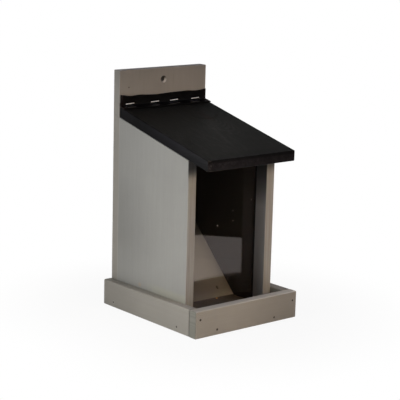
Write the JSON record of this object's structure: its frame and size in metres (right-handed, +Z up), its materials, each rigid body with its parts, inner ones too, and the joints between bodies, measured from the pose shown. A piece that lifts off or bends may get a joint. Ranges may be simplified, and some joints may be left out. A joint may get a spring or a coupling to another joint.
{
  "type": "wooden bird feeder with lifting roof",
  "caption": "Small wooden bird feeder: tall back board with a hanging hole, side walls, clear seed pane, seed ramp, tray and a sloping roof lid on a stapled strip hinge.",
  "frame": {"origin": "under the middle of the feeder's box, on the surface it stands on", "axes": "+Z up, -Y is the open front with the tray, +Y is the back board, X runs across the front"},
  "size_m": [0.1644, 0.1876, 0.303],
  "materials": {
    "grey_paint": "matt grey paint on planed boards",
    "inner_paint": "matt grey paint, shaded inside",
    "black_paint": "satin black stain with faint grain",
    "strip": "glossy black strip",
    "staple": "galvanised flat wire",
    "clear_pane": "clear polished acrylic"
  },
  "bodies": {
    "house": {"back_board": "grey_paint", "left_wall": "grey_paint", "right_wall": "grey_paint", "floor_board": "grey_paint", "feed_ramp": "inner_paint", "window_pane": "clear_pane", "tray_front": "grey_paint", "tray_left": "grey_paint", "tray_right": "grey_paint", "hinge_strip_back": "strip", "back_staple_1": "staple", "back_staple_2": "staple", "back_staple_3": "staple", "back_staple_4": "staple"},
    "roof": {"roof_board": "black_paint", "hinge_strip_roof": "strip", "roof_staple_1": "staple", "roof_staple_2": "staple", "roof_staple_3": "staple", "roof_staple_4": "staple"}
  },
  "joints": [
    {"name": "roof_hinge", "type": "hinge", "parent": "house", "child": "roof", "pos_m": [0, 0.07975, 0.25878], "axis": [-1, 0, 0], "range_deg": [0, 95]}
  ]
}
